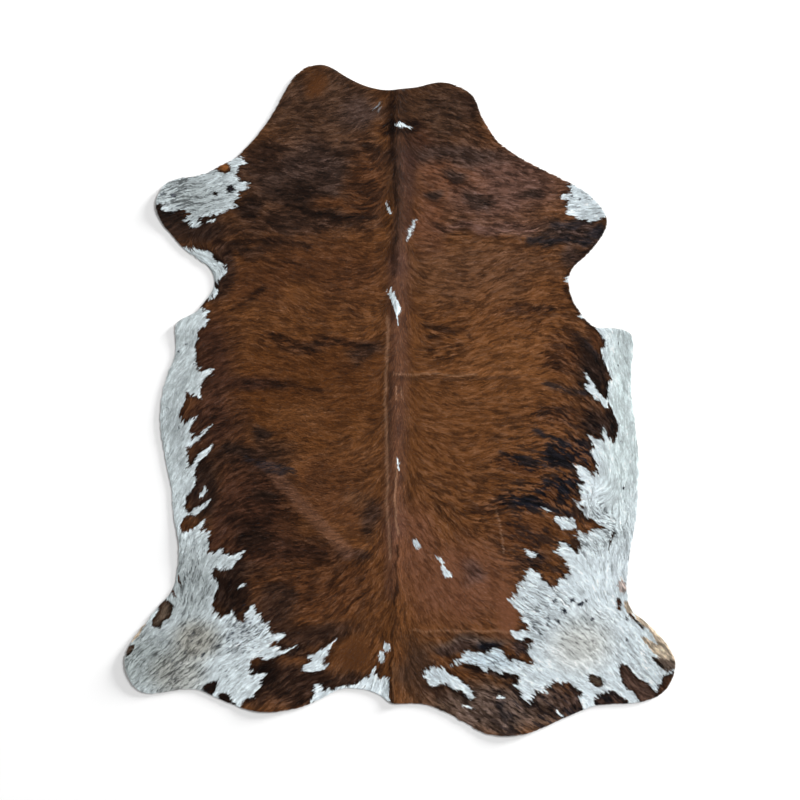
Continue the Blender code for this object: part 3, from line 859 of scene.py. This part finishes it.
WHITE = Field(2.5 * MM, white_parts)
NEAR_WHITE = Field(5 * MM, WHITE.at).blurred(12)


def jagged(points, reaches):
    """Where each hair reads the markings: moved to and fro along the hair, lock by lock."""
    push = streaks(points, 5 * MM, 14 * MM, 11) - 0.5
    along = lie(points)
    return [points + along * (2.0 * reach * push)[:, None] for reach in reaches]


def right_side(points):
    """0 on the left side, 1 on the right and in between on the back."""
    return smooth(0.5 + points[:, 0] / BACK_WIDTH)


def brown_coat(points):
    """Ground colours with dark streaks of hair, as sRGB numbers, and the share of dark hair.

    The dark hair is bluer and its streaks are crisper low on the right side.
    """
    places = wandering(points, 26 * MM, 70 * MM, 20)
    shade = plain("chestnut", points)
    dark = np.full(len(points), PLAIN_DARK)
    for x, y, reach_x, reach_y, ground, dark_hair in AREAS.values():
        weight = area_share(places, x, y, reach_x, reach_y)
        shade = mix(shade, colour(ground), weight)
        dark = blend(dark, dark_hair, weight)
    low_right = smooth((points[:, 0] - 0.22) / 0.2) * smooth((0.05 - points[:, 1]) / 0.25)
    fine, wide = streaks(points, 4.5 * MM, 15 * MM, 21), streaks(points, 9 * MM, 22 * MM, 22)
    pattern = 0.5 * fine + 0.25 * wide
    pattern = ranked(pattern + (0.3 + 0.3 * dark) * noise(places, 36 * MM, 23))
    level = 0.21 + (0.76 - 0.14 * low_right) * dark
    softness = 0.7 - 0.45 * low_right
    streak = smooth((level - pattern) / softness + 0.5)
    ink = mix(colour("black brown")[None], colour("blue black"), 0.7 * low_right)
    strength = (0.13 + 0.04 * right_side(points) + 0.75 * dark) * (1.0 + 0.55 * low_right)
    return mix(shade, ink, np.minimum(strength, 1.0) * streak), dark


def lock_tones(points):
    """Light and dark locks of hair, as numbers with a mean of 0."""
    fine = streaks(points, 3.0 * MM, 9 * MM, 31)
    wide = streaks(points, 7 * MM, 22 * MM, 32)
    even = 2.0 * ranked(fine + 0.8 * wide) - 1.0
    return 1.2 * even * np.sqrt(np.abs(even))


def white_coat(points):
    shade = plain("white", points)
    grey, dashed = np.full(len(points), PLAIN_GREY), np.zeros(len(points))
    for x, y, reach_x, reach_y, tint, strength, greys, dashes in TINTS.values():
        weight = area_share(points, x, y, reach_x, reach_y)
        shade = mix(shade, colour(tint), weight * strength)
        grey = blend(grey, greys, weight)
        dashed = blend(dashed, dashes, weight)
    pattern = ranked(streaks(points, 2.4 * MM, 14 * MM, 41) + 0.2 * noise(points, 20 * MM, 42))
    shade *= (1.0 - 0.42 * smooth((grey - pattern) / 0.4 + 0.25))[:, None]
    short = streaks(points, 3.4 * MM, 7 * MM, 43)
    return mix(shade, colour("blue black"), 0.6 * smooth((dashed - short) / 0.03))


def toned(shades, share):
    """Darker where the share is negative, and with a greyish sheen where it is positive."""
    sheen = shades.mean(axis=1)[:, None] * SHEEN
    darker, lighter = np.minimum(share, 0.0)[:, None], np.maximum(share, 0.0)[:, None]
    return shades * (1.0 + darker) + sheen * lighter


def with_lines(brown, points, locks):
    """The brown coat with its streaks and creases."""
    even, ragged = wandering(points, 3 * MM, 40 * MM, 51), wandering(points, 9 * MM, 30 * MM, 53)
    broken = smooth(1.5 * streaks(points, 4 * MM, 16 * MM, 55))
    for tone, half, strength, line in LINES.values():
        black_hair = colour(tone).mean() < BLACK_HAIR
        away = distance_to_line(ragged if black_hair else even, sheet_points(line)) / (half * MM)
        share = strength * smooth(SOFT_EDGE - away)
        share = share * (0.3 + 0.7 * broken if black_hair else 0.85 - 0.15 * locks)
        brown = mix(brown, colour(tone), share)
    return brown


def add_spots(shade, near, locks):
    """Puts the specks and the spots into the white."""
    for x, y, reach in SPECKS:
        speck = np.linalg.norm(near - sheet_points((x, y)), axis=1) < reach * MM
        shade[speck] = mix(shade[speck], colour("blue black"), 0.88)
    for tone, polygon in SPOTS.values():
        rim = sheet_points(polygon)
        spot = inside(near, rim)
        away = distance_to_line(near[spot], np.vstack([rim, rim[:1]]))
        darkest = 0.65 if colour(tone).mean() < STRONG_RIM else 0.15
        dark = darkest * smooth(1.3 - away / SPOT_RIM)
        tones = mix(colour(tone)[None], colour("black brown"), dark)
        shade[spot] = tones * (1.0 + 0.3 * locks[spot])[:, None]


def marked_coat(points):
    """The colour that each hair has, as sRGB numbers."""
    places, near = jagged(points, (11 * MM, 3 * MM))
    white = WHITE.at(places) > 0.5
    for polygon in FLECKS.values():
        white |= inside(near, sheet_points(polygon))
    locks = lock_tones(points)
    brown, dark = brown_coat(points)
    # Darker overall, and a little lighter on the right side, which faces the lamps: painted light.
    brown *= (0.91 + 0.02 * right_side(points))[:, None]
    brown = with_lines(brown, points, locks)
    fringe = smooth((NEAR_WHITE.at(places) - 0.06) / 0.3)
    brown = mix(brown, colour("black brown"), (0.25 + 0.7 * dark) * fringe)
    depth = (0.15 + 0.43 * dark) * (0.84 + 0.4 * right_side(points))
    depth *= 0.62 + 0.38 * smooth((np.abs(points[:, 0]) - 40 * MM) / (45 * MM))
    brown = toned(brown, depth * locks)
    by_the_brown = smooth((0.95 - NEAR_WHITE.at(points)) / 0.5)
    pale = mix(white_coat(points), colour("white"), 0.55 * by_the_brown)
    pale *= (0.92 + 0.1 * locks + 0.16 * streaks(points, 5 * MM, 11 * MM, 44))[:, None]
    shade = np.where(white[:, None], pale, brown)
    add_spots(shade, near, locks)
    return shade


def linear(shade):
    return np.clip(shade / 255.0, 0.0, 1.0) ** 2.2


# ---------------------------------------------------------------- materials


def new_material(name):
    material = bpy.data.materials.new(name)
    material.use_nodes = True
    tree = material.node_tree
    return material, tree, tree.nodes["Principled BSDF"]


def noise_node(tree, scale, detail):
    """Noise in the piece's own space."""
    place = tree.nodes.new("ShaderNodeTexCoord")
    node = tree.nodes.new("ShaderNodeTexNoise")
    node.inputs["Scale"].default_value = scale
    node.inputs["Detail"].default_value = detail
    tree.links.new(place.outputs["Object"], node.inputs["Vector"])
    return node.outputs["Fac"]


def ramp_node(tree, source, out_low, out_high, low=0.3, high=0.7):
    node = tree.nodes.new("ShaderNodeMapRange")
    node.inputs["From Min"].default_value = low
    node.inputs["From Max"].default_value = high
    node.inputs["To Min"].default_value = out_low
    node.inputs["To Max"].default_value = out_high
    tree.links.new(source, node.inputs["Value"])
    return node.outputs["Result"]


def coat_colour(tree, shader, grain, darkest, lightest):
    """The colours of the piece's points, darker and lighter with the grain."""
    tone = tree.nodes.new("ShaderNodeAttribute")
    tone.attribute_name = "coat"
    vary = tree.nodes.new("ShaderNodeMix")
    vary.data_type = "RGBA"
    vary.blend_type = "MULTIPLY"
    vary.inputs["Factor"].default_value = 1.0
    tree.links.new(tone.outputs["Color"], vary.inputs["A"])
    tree.links.new(ramp_node(tree, grain, darkest, lightest), vary.inputs["B"])
    tree.links.new(vary.outputs["Result"], shader.inputs["Base Color"])


def add_bump(tree, shader, height, strength, distance):
    bump = tree.nodes.new("ShaderNodeBump")
    bump.inputs["Strength"].default_value = strength
    bump.inputs["Distance"].default_value = distance
    tree.links.new(height, bump.inputs["Height"])
    tree.links.new(bump.outputs["Normal"], shader.inputs["Normal"])


def hair_material():
    material, tree, shader = new_material("coat hair")
    coat_colour(tree, shader, noise_node(tree, 380.0, 2.0), 0.9, 1.08)
    worn = noise_node(tree, 9.0, 3.0)
    tree.links.new(ramp_node(tree, worn, 0.42, 0.6), shader.inputs["Roughness"])
    shader.inputs["Specular IOR Level"].default_value = 0.08
    return material


def skin_material(name, scale):
    """The grain side under the hair, which takes the coat's darkened colour."""
    material, tree, shader = new_material(name)
    pores = noise_node(tree, scale, 4.0)
    coat_colour(tree, shader, pores, 0.8, 1.1)
    tree.links.new(ramp_node(tree, pores, 0.6, 0.8), shader.inputs["Roughness"])
    add_bump(tree, shader, pores, 0.4, 0.3 * MM)
    return material


def suede_material(name, light, dark):
    """The flesh side and the cut edge: pale, napped and a little blotchy."""
    material, tree, shader = new_material(name)
    blotches = noise_node(tree, 7.0, 5.0)
    nap = noise_node(tree, 900.0, 3.0)
    ramp = tree.nodes.new("ShaderNodeValToRGB")
    for element, position, shade in zip(ramp.color_ramp.elements, (0.3, 0.7), (dark, light)):
        element.position = position
        element.color = (*linear(np.array(shade, float)), 1.0)
    both = tree.nodes.new("ShaderNodeMath")
    both.operation = "MULTIPLY_ADD"
    both.inputs[1].default_value = 0.35
    tree.links.new(nap, both.inputs[0])
    tree.links.new(ramp_node(tree, blotches, -0.17, 0.83, 0.0, 1.0), both.inputs[2])
    tree.links.new(both.outputs["Value"], ramp.inputs["Fac"])
    tree.links.new(ramp.outputs["Color"], shader.inputs["Base Color"])
    tree.links.new(ramp_node(tree, nap, 0.8, 0.95), shader.inputs["Roughness"])
    shader.inputs["Sheen Weight"].default_value = 0.3
    add_bump(tree, shader, nap, 0.5, 0.4 * MM)
    return material


def add_colours(mesh, shades):
    layer = mesh.color_attributes.new(name="coat", type="FLOAT_COLOR", domain="POINT")
    layer.data.foreach_set("color", np.column_stack([shades, np.ones(len(shades))]).ravel())


def add_map(mesh, places):
    layer = mesh.uv_layers.new(name="OFBake")
    layer.data.foreach_set("uv", places.astype(np.float32).ravel())


def new_object(name, data):
    obj = bpy.data.objects.new(name, data)
    bpy.context.scene.collection.objects.link(obj)
    return obj


# ---------------------------------------------------------------- the tanned skin


def skin_plan():
    """Points and triangles of the hide seen from above, the cut edge's points first."""
    (x0, y0), (x1, y1) = EDGE.min(axis=0), EDGE.max(axis=0)
    grid = []
    for row, y in enumerate(np.arange(y0, y1, SKIN_SPACING * ROW_SHARE)):
        shift = SKIN_SPACING / 2.0 * (row % 2)
        grid += [(x, y) for x in np.arange(x0 + shift, x1, SKIN_SPACING)]
    grid = np.array(grid)
    grid = grid[FROM_EDGE.at(grid) > 0.5 * SKIN_SPACING]
    points = [Vector(point) for point in np.vstack([EDGE, grid])]
    rim = [(index, (index + 1) % len(EDGE)) for index in range(len(EDGE))]
    flat, _, faces = delaunay_2d_cdt(points, rim, [], 0, 1e-6, False)[:3]
    flat, faces = np.array([tuple(point) for point in flat]), np.array(faces)
    assert np.allclose(flat[: len(EDGE)], EDGE, atol=1e-5), "the cut edge's points come first"
    return flat, faces[inside(flat[faces].mean(axis=1), EDGE)]


def rim_walls(count):
    """The cut edge's triangles, between the lower points and the upper ones, and their map."""
    turns = len(EDGE)
    start = np.arange(turns)
    end = (start + 1) % turns
    walls = np.vstack([
        np.column_stack([start, end, end + count]),
        np.column_stack([start, end + count, start + count]),
    ])
    along = np.vstack([
        np.column_stack([start, start + 1, start + 1]),
        np.column_stack([start, start + 1, start]),
    ])
    across = np.repeat([(0.0, 0.0, 1.0), (0.0, 1.0, 1.0)], turns, axis=0)
    places = np.stack([0.49 + 0.02 * across, 0.01 + 0.98 * along / turns], axis=2)
    (x, y), (x_after, y_after) = EDGE.T, np.roll(EDGE, -1, axis=0).T
    clockwise = (x * y_after - x_after * y).sum() < 0
    return (walls[:, ::-1], places[:, ::-1]) if clockwise else (walls, places)


def make_skin():
    flat, faces = skin_plan()
    low = UNDERSIDE.at(flat)
    bottom, top = np.column_stack([flat, low]), np.column_stack([flat, low + skin_depth(flat)])
    under = faces[:, ::-1]
    walls, wall_map = rim_walls(len(flat))
    mesh = bpy.data.meshes.new("skin")
    mesh.from_pydata(np.vstack([bottom, top]), [], np.vstack([faces + len(flat), under, walls]))
    shade = marked_coat(flat)
    shade = linear(shade) * (0.6 + 0.35 * shade.mean(axis=1) / 255.0)[:, None]
    add_colours(mesh, np.vstack([shade, shade]))
    plan = (flat - flat.min(axis=0)) / np.ptp(flat, axis=0)
    grain_map, flesh_map = (plan * MAP_HALF + corner for corner in MAP_CORNERS)
    add_map(mesh, np.concatenate([grain_map[faces], flesh_map[under], wall_map]))
    for material in (
        skin_material("grain side", 240.0),
        suede_material("flesh side", (206, 196, 180), (176, 163, 146)),
        suede_material("cut edge", (190, 170, 146), (150, 128, 104)),
    ):
        mesh.materials.append(material)
    slots = np.repeat([0, 1, 2], [len(faces), len(faces), len(walls)])
    mesh.polygons.foreach_set("material_index", slots)
    mesh.shade_smooth()
    mesh.set_sharp_from_angle(angle=math.radians(50))
    return new_object("skin", mesh)


# ---------------------------------------------------------------- the hair


def hair_roots(rng):
    """Roots all over the hide, in staggered rows, each moved a little at random."""
    (x0, y0), (x1, y1) = EDGE.min(axis=0), EDGE.max(axis=0)
    row_step = ROOT_SPACING * ROW_SHARE
    rows, columns = int((y1 - y0) / row_step) + 1, int((x1 - x0) / ROOT_SPACING) + 1
    row, column = np.indices((rows, columns)).reshape(2, -1)
    grid = np.column_stack([x0 + (column + 0.5 * (row % 2)) * ROOT_SPACING, y0 + row * row_step])
    grid += (rng.random(grid.shape) - 0.5) * 0.8 * ROOT_SPACING
    return grid[FROM_EDGE.at(grid) > ROOT_INSET]


def hair_lengths(roots, rng):
    share = np.ones(len(roots))
    for x, y, reach_x, reach_y, value in LENGTHS.values():
        share = blend(share, value, area_share(roots, x, y, reach_x, reach_y))
    return LONG_HAIR * share * rng.uniform(0.75, 1.2, len(roots))


def middles_and_tips(roots, first, second, length):
    """A blade runs in one direction to its middle and in a second one to its tip."""
    middle = roots + first * (0.55 * length)[:, None]
    return middle, middle + second * (0.45 * length)[:, None]


def hair_blades(roots, rng):
    """Each blade's five points: two at the root, two in the middle and one at the tip."""
    count = len(roots)
    along = lie(roots)
    locks = noise(roots, 11 * MM, 61) + noise(roots, 24 * MM, 62) - 1.0
    turn = np.radians(24.0 * locks + rng.normal(0.0, 7.0, count))
    bend = turn + np.radians(rng.normal(0.0, 8.0, count))
    length = hair_lengths(roots, rng)
    first, second = turned(along, turn), turned(along, bend)
    start = FROM_EDGE.at(roots)
    for _ in range(2):
        out = FROM_EDGE.at(middles_and_tips(roots, first, second, length)[1])
        over = out < -OVERHANG
        length[over] *= ((start + OVERHANG) / (start - out))[over]
    middle, tip = middles_and_tips(roots, first, second, length)
    depth = COAT_DEPTH * rng.uniform(0.75, 1.05, count) * np.clip(length / (10 * MM), 0.3, 1.0)
    roll = rng.normal(0.0, 0.12, count)
    side = np.column_stack([-first[:, 1], first[:, 0]]) * np.cos(roll)[:, None]
    side = np.column_stack([side, np.sin(roll)])
    half = side * (BLADE_WIDTH * rng.uniform(0.38, 0.6, count)[:, None])
    middle_height = skin_top(middle) + depth
    past_the_edge = FROM_EDGE.at(tip) <= 0
    tip_height = np.where(past_the_edge, middle_height - 0.4 * MM, skin_top(tip) + 0.72 * depth)
    root = np.column_stack([roots, skin_top(roots) - 0.2 * MM])
    middle = np.column_stack([middle, middle_height])
    tip = np.column_stack([tip, tip_height])
    narrower = 0.9 * half
    return np.stack([root - half, root + half, middle - narrower, middle + narrower, tip], axis=1)


def surface_normals(points):
    """Unit vectors square to the hide's own surface, without the single blades' slopes."""
    reach = 6 * MM
    east, north = (UNDERSIDE.at(points + step) - UNDERSIDE.at(points - step) for step in np.eye(2) * reach)
    return unit(np.column_stack([-east, -north, np.full(len(points), 2 * reach)]))


def make_band(name, blades, shades, material):
    count = len(blades)
    points = blades.reshape(-1, 3)
    mesh = bpy.data.meshes.new(name)
    faces = (np.arange(count)[:, None, None] * 5 + BLADE_FACES).reshape(-1, 3)
    mesh.from_pydata(points, [], faces, shade_flat=False)
    normals = np.empty(points.size)
    mesh.vertex_normals.foreach_get("vector", normals)
    calm = 0.3 * normals.reshape(-1, 3) + 0.7 * surface_normals(points[:, :2])
    mesh.normals_split_custom_set_from_vertices(unit(calm))
    paleness = shades.mean(axis=1) / 255.0
    shading = 1.0 + (BLADE_SHADES - 1.0) * (1.1 - paleness)[:, None]
    tones = linear(shades)[:, None, :] * shading[:, :, None]
    add_colours(mesh, tones.reshape(-1, 3))
    cell = np.column_stack([np.arange(count) % CELLS, np.arange(count) // CELLS])
    places = (cell[:, None, :] + BLADE_MAP[None]) / CELLS
    add_map(mesh, places[:, BLADE_FACES.ravel()].reshape(-1, 2))
    mesh.materials.append(material)
    return new_object(name, mesh)


def make_coat():
    rng = np.random.default_rng(SEED)
    roots = hair_roots(rng)
    roots = roots[np.argsort(-roots[:, 1], kind="stable")]
    blades = hair_blades(roots, rng)
    shades = marked_coat(roots + lie(roots) * 6 * MM)
    glint = np.where(rng.random(len(roots)) < 0.05, 0.35 - 0.3 * shades.mean(axis=1) / 255.0, 0.0)
    shades = toned(shades, glint) * rng.normal(1.0, 0.035, len(roots))[:, None]
    material = hair_material()
    return [
        make_band(f"coat_{index + 1}", blades[part], shades[part], material)
        for index, part in enumerate(np.array_split(np.arange(len(roots)), BANDS))
    ]


# ---------------------------------------------------------------- the studio


def make_floor():
    bpy.ops.mesh.primitive_plane_add(size=FLOOR_SIZE, location=(0.0, 0.0, -0.3 * MM))
    floor = bpy.context.object
    floor.name = "floor"
    material, _, shader = new_material("floor")
    shader.inputs["Base Color"].default_value = (0.95, 0.95, 0.95, 1.0)
    shader.inputs["Roughness"].default_value = 0.9
    floor.data.materials.append(material)


def add_lamp(name, kind, energy, place):
    """A lamp that shines from its place towards the origin."""
    light = bpy.data.lights.new(name, kind)
    light.energy = energy
    lamp = new_object(name, light)
    lamp.location = place
    lamp.rotation_euler = (-Vector(place)).to_track_quat("-Z", "Y").to_euler()
    return light


def make_studio():
    make_floor()
    top = add_lamp("broad lamp", "AREA", 1250.0, (7.5, 5.5, 10.0))
    top.shape = "DISK"
    top.size = 5.0
    low = add_lamp("low lamp", "SUN", 9.5, (3.3, 2.3, 0.48))
    low.angle = math.radians(14)
    world = bpy.data.worlds.new("studio")
    world.use_nodes = True
    background = world.node_tree.nodes["Background"]
    background.inputs["Color"].default_value = (1.0, 1.0, 1.0, 1.0)
    background.inputs["Strength"].default_value = 0.33
    bpy.context.scene.world = world
    bpy.context.scene.view_settings.view_transform = "Standard"


def make_camera():
    """A camera straight above the hide."""
    data = bpy.data.cameras.new("camera")
    data.lens = LENS
    data.sensor_width = SENSOR
    camera = new_object("camera", data)
    camera.location = (0.0, 0.0, PICTURE_WIDTH * LENS / SENSOR)
    bpy.context.scene.camera = camera


def main():
    skin = make_skin()
    bands = make_coat()
    for piece in [skin, *bands]:
        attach(piece, "root")
    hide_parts("hide")
    make_studio()
    make_camera()


main()
